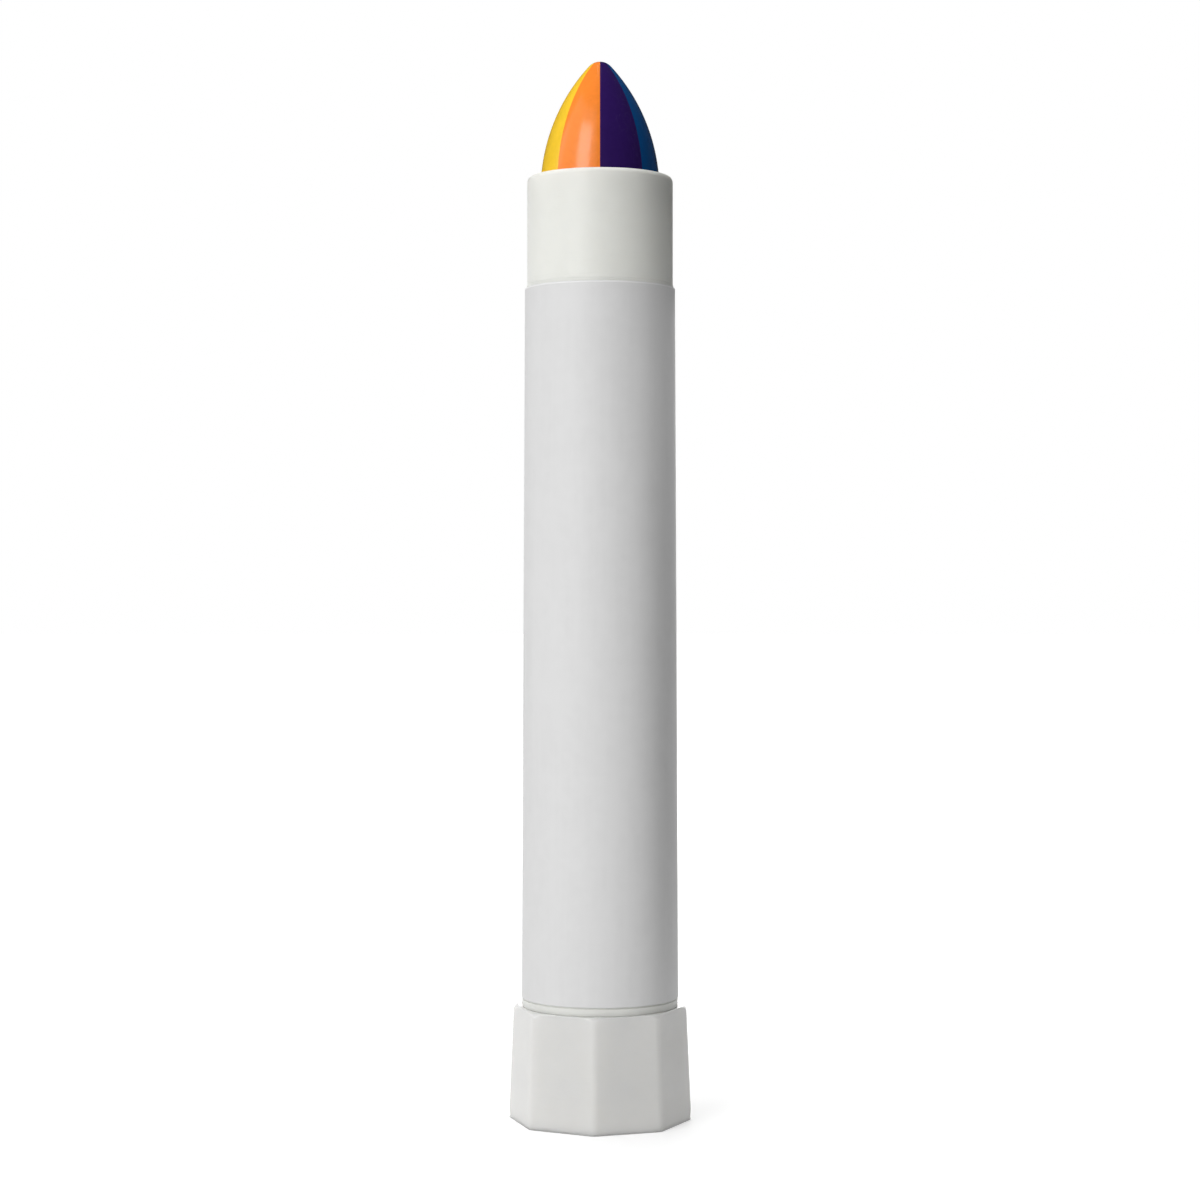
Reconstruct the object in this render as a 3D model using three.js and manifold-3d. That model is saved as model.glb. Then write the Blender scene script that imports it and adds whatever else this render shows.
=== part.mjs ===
// A twist-up solid paint marker, standing on its knob: millimetres, +Z up along the marker.
// The origin is the middle of the knob's underside, and the front of the marker faces -Y.
import * as THREE from 'three';
import { mergeVertices } from 'three/addons/utils/BufferGeometryUtils.js';
import Module from 'manifold-3d';

const wasm = await Module();
wasm.setup();

// Paint stick
const stickDiameter = 13.1;
const tipLength = 14.3; // from the end of the stick to where its bullet tip becomes straight
const noseRadius = 1.68; // rounding at the very end of the tip
const tipShowing = 12.85; // tip above the barrel's rim as the marker stands
const retraction = 14; // how far the stick draws in from there
const paintBoreClearance = 0.3; // round the spindle, which stands in the stick's own bore
const paintBoreEndRoom = 0.6; // above the spindle when the stick is drawn right in
const paintBorePoint = 1; // height of the cone that ends the bore
const castGap = 0.1; // paint shrinks this much from the carrier as it sets

// Barrel
const stickClearance = 0.2;
const neckWall = 1.25;
const neckLength = 11.75;
const rimFillet = 0.45;
const mouthChamfer = 0.3;
const shoulderStep = 0.07; // the body under the label stands this much proud of the neck
const barrelDraft = THREE.MathUtils.degToRad(0.256);
const bandAboveLabel = 0.4;
const bandBelowLabel = 0.8;
const bandRise = 0.12; // the band below the label stands this much proud of the body
const bandRoom = 0.12; // between that band and the label's lower edge
const spigotWall = 0.7;
const spigotEndGap = 0.6; // from the spigot's end to the knob's floor
const beadHeight = 0.5; // snap bead that holds the knob on
const beadWidth = 1.6;
const beadRise = 2.2; // from the spigot's end to the middle of the bead
const keywayWidth = 2;
const keywayDepth = 0.6;
const keywayEndRoom = 0.5;
const fingerBridge = 0.8; // solid ring left between the spigot's two slots and the shoulder

// Label
const labelLength = 77.8;
const labelThickness = 0.13;
const adhesiveThickness = 0.05;
const labelSeamGap = 0.4; // between the label's two ends, at the back

// Twist knob
const knobHeight = 12.5;
const knobGap = 0.1; // between the knob's top face and the barrel's shoulder
const knobClearance = 0.22; // between the spigot and the knob's bore
const knobWall = 1.2; // at the middle of a flat, at the top
const knobFloor = 1.6;
const knobSides = 8;
const knobDraft = THREE.MathUtils.degToRad(2.3);
const knobEdgeRadius = 1;
const knobTopFillet = 0.55; // turned about the axis, so that it takes the top's corners off
const knobTopStretch = 1.65; // how many times taller than wide that rounding is
const knobTurningRoom = 0.05; // from the corners out to where the turned edge starts
const knobTurn = THREE.MathUtils.degToRad(-4); // how the knob's front edge stands off the front
const beadClearance = 0.25;
const bossHeight = 4.4;
const bossWall = 1.2;

// Lead screw
const threadLead = 4;
const threadCrestRadius = 3;
const threadDepth = 0.8;
const threadCrestWidth = 1;
const threadFlankWidth = 0.5;
const collarHeight = 1;
const rootSide = 3; // square root that the knob's socket drives
const rootClearance = 0.1;
const screwTipChamfer = 0.6;

// Paint carrier
const carrierRoom = 1; // above the screw's collar when the stick is drawn right in
const carrierFloor = 2;
const cupDepth = 6;
const cupWall = 0.5;
const nutHeight = 6;
const nutWall = 0.9;
const threadClearance = 0.3;
const carrierStopDepth = 13.35; // from the rim down to the cup's edge at full feed
const lugHeight = 5;
const lugSideClearance = 0.2;
const lugTipClearance = 0.25;

// Facets
const ringSegments = 48;
const threadColumns = 12;
const cornerSteps = 3;
const filletSteps = 4;
const ogiveSteps = 9;
const noseSteps = 4;
const mergeDistance = 1e-4;

// Radii, worked outwards from the paint stick
const stickRadius = stickDiameter / 2;
const boreRadius = stickRadius + stickClearance;
const neckRadius = boreRadius + neckWall;
const keywayRadius = boreRadius + keywayDepth;
const spigotRadius = boreRadius + spigotWall;
const beadRadius = spigotRadius + beadHeight;
const knobBoreRadius = spigotRadius + knobClearance;
const knobTopApothem = knobBoreRadius + knobWall;
const knobBaseApothem = knobTopApothem + knobHeight * Math.tan(knobDraft);
const bodyTopRadius = neckRadius + shoulderStep;
const threadRootRadius = threadCrestRadius - threadDepth;
const nutRadius = threadCrestRadius + threadClearance + nutWall;
const paintBoreRadius = threadCrestRadius + paintBoreClearance;
const socketSide = rootSide + 2 * rootClearance;
const bossRadius = socketSide / Math.SQRT2 + bossWall;

// Heights, worked upwards from the knob's underside
const spigotEnd = knobFloor + spigotEndGap;
const bossTop = knobFloor + bossHeight;
const collarTop = bossTop + collarHeight;
const shoulderHeight = knobHeight + knobGap;
const labelBottom = shoulderHeight + bandBelowLabel;
const labelTop = labelBottom + labelLength;
const neckBottom = labelTop + bandAboveLabel;
const rimHeight = neckBottom + neckLength;
const tipHeight = rimHeight + tipShowing;
const carrierHeight = carrierFloor + cupDepth;
const carrierBottom = collarTop + carrierRoom + retraction;
const feed = rimHeight - carrierStopDepth - carrierHeight - carrierBottom;
const screwTop = carrierBottom + feed + nutHeight;
const paintBoreTop = screwTop + retraction + paintBoreEndRoom;
const keywayTop = carrierBottom + feed + lugHeight + keywayEndRoom;

// Fillets, limited by the walls that they round
const rimRound = Math.min(rimFillet, 0.9 * (neckWall - mouthChamfer));
const knobTopRound = Math.min(knobTopFillet, 0.8 * knobWall);

// Radius of the barrel's outside, under the label, at height z.
function bodyRadius(z) {
  return bodyTopRadius + (neckBottom - z) * Math.tan(barrelDraft);
}

// Points of a circular arc in the (radius, height) plane, its start left out and its end kept.
function arc(centreR, centreZ, radius, fromAngle, toAngle, steps) {
  const points = [];
  for (let step = 1; step <= steps; step += 1) {
    const angle = fromAngle + ((toAngle - fromAngle) * step) / steps;
    points.push([centreR + radius * Math.cos(angle), centreZ + radius * Math.sin(angle)]);
  }
  return points;
}

// A BufferGeometry of the given points and triangles.
function meshGeometry(points, triangles) {
  const geometry = new THREE.BufferGeometry();
  geometry.setAttribute('position', new THREE.Float32BufferAttribute(points.flat(), 3));
  geometry.setIndex(triangles.flat());
  return geometry;
}

// The same surface with shared vertices and no collapsed triangles, as a solid needs it.
function weld(geometry) {
  const bare = geometry.clone();
  bare.deleteAttribute('normal');
  bare.deleteAttribute('uv');
  const welded = mergeVertices(bare, mergeDistance);
  const corners = welded.index.array;
  const kept = [];
  for (let first = 0; first < corners.length; first += 3) {
    const [a, b, c] = corners.slice(first, first + 3);
    if (a !== b && b !== c && c !== a) kept.push(a, b, c);
  }
  welded.setIndex(kept);
  return welded;
}

function toSolid(geometry) {
  const welded = weld(geometry);
  return new wasm.Manifold(new wasm.Mesh({
    numProp: 3,
    vertProperties: new Float32Array(welded.attributes.position.array),
    triVerts: new Uint32Array(welded.index.array),
  }));
}

function toGeometry(solid) {
  const mesh = solid.getMesh();
  const geometry = new THREE.BufferGeometry();
  geometry.setAttribute('position', new THREE.BufferAttribute(mesh.vertProperties, 3));
  geometry.setIndex(new THREE.BufferAttribute(mesh.triVerts, 1));
  return geometry;
}

// A full turn of an outline in the (radius, height) plane, about the marker's axis.
// The outline runs anticlockwise, with radius to the right and height up.
function turned(outline, segments = ringSegments) {
  const points = [...outline, outline[0]].map(([r, z]) => new THREE.Vector2(r, z));
  return new THREE.LatheGeometry(points, segments).rotateX(Math.PI / 2);
}

// Part of a turn of a closed anticlockwise outline, with a flat face at each end of the turn.
function turnedSector(outline, fromAngle, toAngle, steps) {
  const points = [];
  for (let step = 0; step <= steps; step += 1) {
    const angle = fromAngle + ((toAngle - fromAngle) * step) / steps;
    for (const [r, z] of outline) points.push([r * Math.cos(angle), r * Math.sin(angle), z]);
  }
  const size = outline.length;
  const triangles = [];
  for (let step = 0; step < steps; step += 1) {
    for (let corner = 0; corner < size; corner += 1) {
      const next = (corner + 1) % size;
      const near = step * size;
      const far = near + size;
      triangles.push([near + corner, far + corner, far + next]);
      triangles.push([near + corner, far + next, near + next]);
    }
  }
  const flat = outline.map(([r, z]) => new THREE.Vector2(r, z));
  for (const [a, b, c] of THREE.ShapeUtils.triangulateShape(flat, [])) {
    triangles.push([a, b, c]);
    triangles.push([steps * size + a, steps * size + c, steps * size + b]);
  }
  return weld(meshGeometry(points, triangles));
}

// A solid skinned over closed rings of equally many points, from the lowest to the highest.
function lofted(rings) {
  const size = rings[0].length;
  const points = rings.flat();
  const triangles = [];
  for (let level = 0; level < rings.length - 1; level += 1) {
    for (let corner = 0; corner < size; corner += 1) {
      const next = (corner + 1) % size;
      const low = level * size;
      const high = low + size;
      triangles.push([low + corner, low + next, high + next]);
      triangles.push([low + corner, high + next, high + corner]);
    }
  }
  const top = (rings.length - 1) * size;
  for (let corner = 1; corner < size - 1; corner += 1) {
    triangles.push([0, corner + 1, corner]);
    triangles.push([top, top + corner, top + corner + 1]);
  }
  return meshGeometry(points, triangles);
}

// A block with its faces along the axes, between two opposite corners.
function block(low, high) {
  const size = high.map((value, axis) => value - low[axis]);
  const middle = high.map((value, axis) => (value + low[axis]) / 2);
  return new THREE.BoxGeometry(...size).translate(...middle);
}

// The two copies of a block that stand on opposite sides of the marker's axis.
function blockPair(low, high) {
  const one = toSolid(block(low, high));
  const other = toSolid(block(low, high).rotateZ(Math.PI));
  return one.add(other);
}

// A rod with a left-handed trapezoidal thread. Each column of points stands at a fixed angle and
// zigzags up between root and crest, and each column is one step of the lead lower than the last.
function threadedRod(crest, root, crestWidth, bottom, top) {
  const flank = threadFlankWidth;
  const turn = [[root, 0], [crest, flank], [crest, flank + crestWidth], [root, 2 * flank + crestWidth]];
  const turns = Math.ceil((top - bottom) / threadLead) + 2;
  const firstTurn = Math.floor(bottom / threadLead);
  const zigzag = [];
  for (let count = 0; count < turns; count += 1) {
    const start = (firstTurn + count) * threadLead - crestWidth / 2 - flank;
    for (const [radius, rise] of turn) zigzag.push([radius, start + rise]);
  }
  const size = zigzag.length;
  const points = [];
  for (let column = 0; column < threadColumns; column += 1) {
    const angle = (2 * Math.PI * column) / threadColumns;
    const drop = (threadLead * column) / threadColumns;
    for (const [r, z] of zigzag) points.push([r * Math.cos(angle), r * Math.sin(angle), z - drop]);
  }
  const triangles = [];
  for (let column = 0; column < threadColumns; column += 1) {
    const last = column === threadColumns - 1;
    const near = column * size;
    const far = last ? -turn.length : near + size;
    for (let level = last ? turn.length : 0; level < size - 1; level += 1) {
      triangles.push([near + level, far + level, far + level + 1]);
      triangles.push([near + level, far + level + 1, near + level + 1]);
    }
  }
  const foot = [];
  const head = [];
  for (let column = 0; column < threadColumns; column += 1) {
    foot.push(column * size);
    head.push(column * size + size - 1);
  }
  for (let level = 1; level <= turn.length; level += 1) {
    foot.push((threadColumns - 1) * size + level);
    head.push(size - 1 - turn.length + level - 1);
  }
  triangles.push(...fan(foot, points, true));
  triangles.push(...fan(head, points, false));
  return toSolid(meshGeometry(points, triangles));
}

// Triangles from a new point on the axis to each edge of a closed loop round it.
function fan(loop, points, facesDown) {
  const heights = loop.map((index) => points[index][2]);
  const hub = points.length;
  points.push([0, 0, heights.reduce((sum, height) => sum + height, 0) / heights.length]);
  return loop.map((index, place) => {
    const next = loop[(place + 1) % loop.length];
    return facesDown ? [hub, next, index] : [hub, index, next];
  });
}

function makeBarrel() {
  const bead = spigotEnd + beadRise;
  const bandRadius = bodyRadius(shoulderHeight) + bandRise;
  const bandTop = labelBottom - bandRoom;
  const outline = [
    [boreRadius, spigotEnd],
    [spigotRadius, spigotEnd],
    [spigotRadius, bead - beadWidth / 2],
    [beadRadius, bead - beadWidth / 4],
    [beadRadius, bead + beadWidth / 4],
    [spigotRadius, bead + beadWidth / 2],
    [spigotRadius, shoulderHeight],
    [bandRadius, shoulderHeight],
    [bandRadius, bandTop],
    [bodyRadius(bandTop), bandTop],
    [bodyRadius(neckBottom), neckBottom],
    [neckRadius, neckBottom],
    [neckRadius, rimHeight - rimRound],
    ...arc(neckRadius - rimRound, rimHeight - rimRound, rimRound, 0, Math.PI / 2, filletSteps),
    [boreRadius + mouthChamfer, rimHeight],
    [boreRadius, rimHeight - mouthChamfer],
  ];
  const inside = boreRadius - keywayDepth;
  const keyways = blockPair(
    [inside, -keywayWidth / 2, 0],
    [keywayRadius, keywayWidth / 2, keywayTop],
  );
  const slots = blockPair(
    [inside, -keywayWidth / 2, 0],
    [beadRadius + beadHeight, keywayWidth / 2, shoulderHeight - fingerBridge],
  );
  return toGeometry(toSolid(turned(outline)).subtract(keyways).subtract(slots));
}

function makeLabel() {
  const inner = (z) => bodyRadius(z) + adhesiveThickness;
  const outer = (z) => inner(z) + labelThickness;
  const outline = [
    [inner(labelBottom), labelBottom],
    [outer(labelBottom), labelBottom],
    [outer(labelTop), labelTop],
    [inner(labelTop), labelTop],
  ];
  const halfSeam = labelSeamGap / 2 / bodyTopRadius;
  const back = Math.PI / 2;
  return turnedSector(outline, back + halfSeam, back + 2 * Math.PI - halfSeam, ringSegments);
}

// One level of the knob: a regular polygon with rounded corners, one of them near the front.
function knobRing(apothem, z) {
  const half = Math.PI / knobSides;
  const toCorner = (apothem - knobEdgeRadius) / Math.cos(half);
  const ring = [];
  for (let side = 0; side < knobSides; side += 1) {
    const corner = -Math.PI / 2 + knobTurn + 2 * half * side;
    for (let step = 0; step <= cornerSteps; step += 1) {
      const facing = corner - half + (2 * half * step) / cornerSteps;
      ring.push([
        toCorner * Math.cos(corner) + knobEdgeRadius * Math.cos(facing),
        toCorner * Math.sin(corner) + knobEdgeRadius * Math.sin(facing),
        z,
      ]);
    }
  }
  return ring;
}

// Outline of the body of revolution that turns the knob's top edge and leaves its flats whole.
function knobEnvelope() {
  const start = knobHeight - knobTopStretch * knobTopRound;
  const flat = knobBaseApothem - start * Math.tan(knobDraft);
  const corner = (flat - knobEdgeRadius) / Math.cos(Math.PI / knobSides) + knobEdgeRadius;
  const reach = corner + knobTurningRoom;
  const edge = arc(reach - knobTopRound, start, knobTopRound, 0, Math.PI / 2, filletSteps);
  return [
    [0, -knobFloor],
    [2 * reach, -knobFloor],
    [2 * reach, start],
    [reach, start],
    ...edge.map(([r, z]) => [r, start + knobTopStretch * (z - start)]),
    [0, knobHeight],
  ];
}

function makeKnob() {
  const above = knobHeight + knobWall;
  const flats = lofted([
    knobRing(knobBaseApothem, 0),
    knobRing(knobBaseApothem - above * Math.tan(knobDraft), above),
  ]);
  const blank = toSolid(flats).intersect(toSolid(turned(knobEnvelope())));
  const bead = spigotEnd + beadRise;
  const grooveHalf = beadWidth / 2 + beadClearance;
  const socket = [
    [bossRadius, knobFloor],
    [knobBoreRadius, knobFloor],
    [knobBoreRadius, bead - grooveHalf],
    [beadRadius + beadClearance, bead - grooveHalf + beadWidth / 4],
    [beadRadius + beadClearance, bead + grooveHalf - beadWidth / 4],
    [knobBoreRadius, bead + grooveHalf],
    [knobBoreRadius, above],
    [0, above],
    [0, bossTop],
    [bossRadius, bossTop],
  ];
  const drive = block(
    [-socketSide / 2, -socketSide / 2, knobFloor],
    [socketSide / 2, socketSide / 2, bossTop + knobFloor],
  );
  return toGeometry(blank.subtract(toSolid(turned(socket))).subtract(toSolid(drive)));
}

function makeLeadScrew() {
  const rod = threadedRod(threadCrestRadius, threadRootRadius, threadCrestWidth, collarTop, screwTop);
  const envelope = [
    [0, collarTop],
    [threadCrestRadius, collarTop],
    [threadCrestRadius, screwTop - screwTipChamfer],
    [threadCrestRadius - screwTipChamfer, screwTop],
    [0, screwTop],
  ];
  const collar = [
    [0, bossTop],
    [threadCrestRadius, bossTop],
    [threadCrestRadius, collarTop],
    [0, collarTop],
  ];
  const root = block(
    [-rootSide / 2, -rootSide / 2, knobFloor + rootClearance],
    [rootSide / 2, rootSide / 2, collarTop],
  );
  const thread = rod.intersect(toSolid(turned(envelope, threadColumns)));
  return toGeometry(thread.add(toSolid(turned(collar, threadColumns))).add(toSolid(root)));
}

function makeCarrier() {
  const outline = [
    [0, carrierBottom],
    [stickRadius, carrierBottom],
    [stickRadius, carrierBottom + carrierHeight],
    [stickRadius - cupWall, carrierBottom + carrierHeight],
    [stickRadius - cupWall, carrierBottom + carrierFloor],
    [nutRadius, carrierBottom + carrierFloor],
    [nutRadius, carrierBottom + nutHeight],
    [0, carrierBottom + nutHeight],
  ];
  const lugWidth = keywayWidth - 2 * lugSideClearance;
  const lugs = blockPair(
    [stickRadius - cupWall, -lugWidth / 2, carrierBottom],
    [keywayRadius - lugTipClearance, lugWidth / 2, carrierBottom + lugHeight],
  );
  const bore = threadedRod(
    threadCrestRadius + threadClearance,
    threadRootRadius + threadClearance,
    threadCrestWidth + 2 * threadClearance,
    carrierBottom,
    carrierBottom + nutHeight,
  );
  return toGeometry(toSolid(turned(outline)).add(lugs).subtract(bore));
}

// Outline of the paint stick from its foot in the carrier's cup to the end of its bullet tip.
// The tip's side is an arc that leaves the straight stick smoothly and meets the round nose.
function stickOutline() {
  const foot = carrierBottom + carrierFloor + castGap;
  const footRadius = stickRadius - cupWall - castGap;
  const cupEdge = carrierBottom + carrierHeight + castGap;
  const nutEdge = carrierBottom + nutHeight + castGap;
  const tipStart = tipHeight - tipLength;
  const noseCentre = tipHeight - noseRadius;
  const rise = noseCentre - tipStart;
  const sideRadius = (stickRadius ** 2 + rise ** 2 - noseRadius ** 2) / (2 * (stickRadius - noseRadius));
  const meet = Math.atan2(rise, sideRadius - stickRadius);
  return [
    [nutRadius + castGap, foot],
    [footRadius, foot],
    [footRadius, cupEdge],
    [stickRadius, cupEdge],
    [stickRadius, tipStart],
    ...arc(stickRadius - sideRadius, tipStart, sideRadius, 0, meet, ogiveSteps),
    ...arc(0, noseCentre, noseRadius, meet, Math.PI / 2, noseSteps).slice(0, -1),
    [0, tipHeight],
    [0, paintBoreTop + paintBorePoint],
    [paintBoreRadius, paintBoreTop],
    [paintBoreRadius, nutEdge],
    [nutRadius + castGap, nutEdge],
  ];
}

const whitePlastic = { color: 0xe9e9e4, roughness: 0.38, metalness: 0 };
const labelFilm = { color: 0xd9dadc, roughness: 0.55, metalness: 0 };
const paints = {
  yellow: { color: 0xffcd46, roughness: 0.42, metalness: 0 },
  orange: { color: 0xff8c46, roughness: 0.42, metalness: 0 },
  violet: { color: 0x3a2273, roughness: 0.42, metalness: 0 },
  blue: { color: 0x0062af, roughness: 0.42, metalness: 0 },
};

// The paint wedges in order, anticlockwise from above, starting at +X.
const wedges = [
  ['yellow_wedge_right', 'yellow'],
  ['orange_wedge_rear', 'orange'],
  ['violet_wedge_rear', 'violet'],
  ['blue_wedge_left', 'blue'],
  ['yellow_wedge_left', 'yellow'],
  ['orange_wedge_front', 'orange'],
  ['violet_wedge_front', 'violet'],
  ['blue_wedge_right', 'blue'],
];

function piece(name, geometry, finish) {
  const mesh = new THREE.Mesh(geometry, new THREE.MeshStandardMaterial(finish));
  mesh.name = name;
  return mesh;
}

const marker = new THREE.Group();

const casing = new THREE.Group();
casing.add(piece('barrel', makeBarrel(), whitePlastic));
casing.add(piece('label_sleeve', makeLabel(), labelFilm));
marker.add(casing);

const drive = new THREE.Group();
drive.add(piece('twist_knob', makeKnob(), whitePlastic));
drive.add(piece('lead_screw', makeLeadScrew(), whitePlastic));
marker.add(drive);

const stick = new THREE.Group();
stick.add(piece('paint_carrier', makeCarrier(), whitePlastic));
const wedgeAngle = (2 * Math.PI) / wedges.length;
wedges.forEach(([name, colour], place) => {
  const from = place * wedgeAngle;
  const steps = Math.ceil(ringSegments / wedges.length);
  const wedge = turnedSector(stickOutline(), from, from + wedgeAngle, steps);
  stick.add(piece(name, wedge, paints[colour]));
});
marker.add(stick);

export default marker;
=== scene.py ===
"""A twist-up solid paint marker standing on its knob, dressed for a studio picture.

Everything is in metres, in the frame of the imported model: +Z runs up the marker, the origin is the
middle of the knob's underside, and the marker's front faces -Y.
"""

import logging
import math
from collections.abc import Callable
from dataclasses import dataclass, field
from enum import Enum

import bmesh
import bpy
import numpy as np
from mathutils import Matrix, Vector


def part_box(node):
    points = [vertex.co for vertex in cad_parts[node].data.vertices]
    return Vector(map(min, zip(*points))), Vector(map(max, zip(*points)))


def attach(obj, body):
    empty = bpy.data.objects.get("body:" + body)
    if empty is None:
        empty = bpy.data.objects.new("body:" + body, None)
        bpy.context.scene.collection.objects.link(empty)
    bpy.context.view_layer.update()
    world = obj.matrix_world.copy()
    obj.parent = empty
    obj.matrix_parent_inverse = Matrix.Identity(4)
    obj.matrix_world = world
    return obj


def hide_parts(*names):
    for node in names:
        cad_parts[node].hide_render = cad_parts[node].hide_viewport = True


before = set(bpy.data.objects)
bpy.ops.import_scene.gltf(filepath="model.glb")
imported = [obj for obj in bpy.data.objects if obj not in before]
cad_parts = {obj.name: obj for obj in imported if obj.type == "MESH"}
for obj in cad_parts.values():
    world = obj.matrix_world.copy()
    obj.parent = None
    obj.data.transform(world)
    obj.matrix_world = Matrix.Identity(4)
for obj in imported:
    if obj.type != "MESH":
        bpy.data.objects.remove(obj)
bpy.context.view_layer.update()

log = logging.getLogger("marker")

MM = 0.001
QUARTER = math.pi / 2
FULL = 2 * math.pi

# Points nearer than the first are merged, and edges shorter than the second are taken out.
MERGE_DISTANCE = 1e-7
COLLAPSE_DISTANCE = 1e-8

# Edges that bend by more than this many degrees stay crisp: in general, on the paint, on threads.
CREASE = 35.0
PAINT_CREASE = 30.0
THREAD_CREASE = 55.0

# Where the points across a thread's flank lie, as shares of its width.
FLANK_SHARES = (0, 0.08, 0.2, 0.5, 0.8, 0.92, 1)

# How much of the flank's fall is a smooth step, which eases its corners, and not a straight ramp.
FLANK_EASE = 0.4

# The values between which a cloudy noise nearly always lies.
CLOUDS = (0.3, 0.7)

Socket = bpy.types.NodeSocket
Colour = tuple[float, float, float]


def corners(node: str) -> tuple[np.ndarray, np.ndarray]:
    """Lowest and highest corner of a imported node, as two arrays.

    Args:
        node: The node's name.

    Returns:
        The lowest corner and the highest corner, in metres.
    """
    low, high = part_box(node)
    return np.array(low), np.array(high)


class Turn(Enum):
    """Which way a thread climbs, as the sign of its rise for an anticlockwise turn."""

    LEFT_HANDED = -1
    RIGHT_HANDED = 1


class Carve(Enum):
    """What a Boolean does, by Blender's name for it."""

    CUT = "DIFFERENCE"
    JOIN = "UNION"
    KEEP_INSIDE = "INTERSECT"


class Paint(Enum):
    """The four paints, each a linear colour."""

    YELLOW = (0.96, 0.61, 0.035)
    ORANGE = (0.97, 0.255, 0.033)
    VIOLET = (0.026, 0.0078, 0.098)
    BLUE = (0.001, 0.074, 0.262)


# Shapes


@dataclass
class Shell:
    """A surface in the making: points, and faces that index them.

    Attributes:
        points: One row of x, y and z for each point.
        faces: Corner numbers of each face, anticlockwise seen from outside.
    """

    points: np.ndarray
    faces: list[list[int]]

    def piece(self, name: str, sharp: float = CREASE, fill: bool = False) -> bpy.types.Object:
        """Makes the shell an object with closed poles, outward faces and smooth shading.

        Args:
            name: The new object's name.
            sharp: Edges bent by more than this many degrees stay crisp.
            fill: Whether open ends are closed, each with triangles round its middle.

        Returns:
            The new object, at the origin, with its place in its mesh.
        """
        mesh = bpy.data.meshes.new(name)
        mesh.from_pydata(self.points.tolist(), [], self.faces)
        work = bmesh.new()
        work.from_mesh(mesh)
        bmesh.ops.remove_doubles(work, verts=work.verts, dist=MERGE_DISTANCE)
        bmesh.ops.dissolve_degenerate(work, edges=work.edges, dist=COLLAPSE_DISTANCE)
        if fill:
            caps = bmesh.ops.holes_fill(work, edges=[edge for edge in work.edges if edge.is_boundary])
            bmesh.ops.poke(work, faces=caps["faces"])
        bmesh.ops.recalc_face_normals(work, faces=work.faces)
        work.to_mesh(mesh)
        work.free()
        finish_shading(mesh, sharp)
        made = bpy.data.objects.new(name, mesh)
        bpy.context.scene.collection.objects.link(made)
        return made


def finish_shading(mesh: bpy.types.Mesh, sharp: float) -> None:
    """Shades a mesh smooth, with crisp edges where it bends by more than sharp degrees."""
    mesh.shade_smooth()
    mesh.set_sharp_from_angle(angle=math.radians(sharp))


def grid_faces(rows: int, columns: int, wrap_rows: bool, wrap_columns: bool) -> list[list[int]]:
    """Quads of a grid whose point in row i and column j has the number i * columns + j.

    Args:
        rows: How many rows of points there are.
        columns: How many points a row has.
        wrap_rows: Whether the last row joins the first.
        wrap_columns: Whether each row's last point joins its first.

    Returns:
        The corner numbers of each quad.
    """
    row = np.arange(rows if wrap_rows else rows - 1)
    column = np.arange(columns if wrap_columns else columns - 1)
    row, column = (part.ravel() for part in np.meshgrid(row, column, indexing="ij"))
    next_row = (row + 1) % rows
    next_column = (column + 1) % columns
    quads = np.stack([
        row * columns + column,
        next_row * columns + column,
        next_row * columns + next_column,
        row * columns + next_column,
    ], axis=1)
    return quads.tolist()


def woven(points: np.ndarray, wrap_rows: bool = False, wrap_columns: bool = False,
          capped: bool = False) -> Shell:
    """A surface over a grid of points.

    Args:
        points: An array of row by column by x, y and z.
        wrap_rows: Whether the last row joins the first.
        wrap_columns: Whether each row's last point joins its first.
        capped: Whether one flat face closes the first row and another the last.

    Returns:
        The surface.
    """
    rows, columns = points.shape[:2]
    faces = grid_faces(rows, columns, wrap_rows, wrap_columns)
    if capped:
        faces.append(list(range(columns)))
        faces.append(list(range(rows * columns - 1, (rows - 1) * columns - 1, -1)))
    return Shell(points.reshape(-1, 3), faces)


def arc(centre: tuple[float, float], radius: float, start: float, end: float, steps: int,
        stretch: float = 1.0) -> np.ndarray:
    """Points of an arc: the centre plus radius times the cosine and sine of the angle.

    Args:
        centre: The arc's centre, as distance from the axis and height.
        radius: The arc's radius.
        start: The first point's angle, in radians.
        end: The last point's angle, in radians.
        steps: How many equal steps lie between them.
        stretch: How many times taller than a circle's arc it is.

    Returns:
        One row of distance and height for each point, both ends included.
    """
    angle = np.linspace(start, end, steps + 1)
    return np.stack([centre[0] + radius * np.cos(angle),
                     centre[1] + stretch * radius * np.sin(angle)], axis=1)


def outline(*parts: np.ndarray | list[tuple[float, float]]) -> np.ndarray:
    """Joins points and arcs into one outline of distance from the axis and height."""
    return np.concatenate([np.atleast_2d(np.array(part, dtype=float)) for part in parts])


def smooth_step(share: np.ndarray) -> np.ndarray:
    """Eases shares from nought to one: three times the square less twice the cube."""
    return share ** 2 * (3 - 2 * share)


def polar(profile: np.ndarray, angle: np.ndarray) -> np.ndarray:
    """Carries a profile round the axis: x and y are its distance times cosine and sine of the angle.

    Args:
        profile: Rows of distance and height.
        angle: The angles that it is carried to, in radians.

    Returns:
        An array of angle by profile point by x, y and z.
    """
    distance, height = profile[:, 0][None, :], profile[:, 1][None, :]
    angle = angle[:, None]
    return np.stack([
        distance * np.cos(angle),
        distance * np.sin(angle),
        np.broadcast_to(height, (len(angle), profile.shape[0])),
    ], axis=2)


def turned(profile: np.ndarray, steps: int = 192) -> Shell:
    """A full turn of a closed profile about the marker's axis.

    Args:
        profile: Rows of distance and height; the last joins the first.
        steps: How many equal steps the turn has.

    Returns:
        The closed surface.
    """
    angle = np.linspace(0, FULL, steps, endpoint=False)
    return woven(polar(profile, angle), wrap_rows=True, wrap_columns=True)


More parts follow.
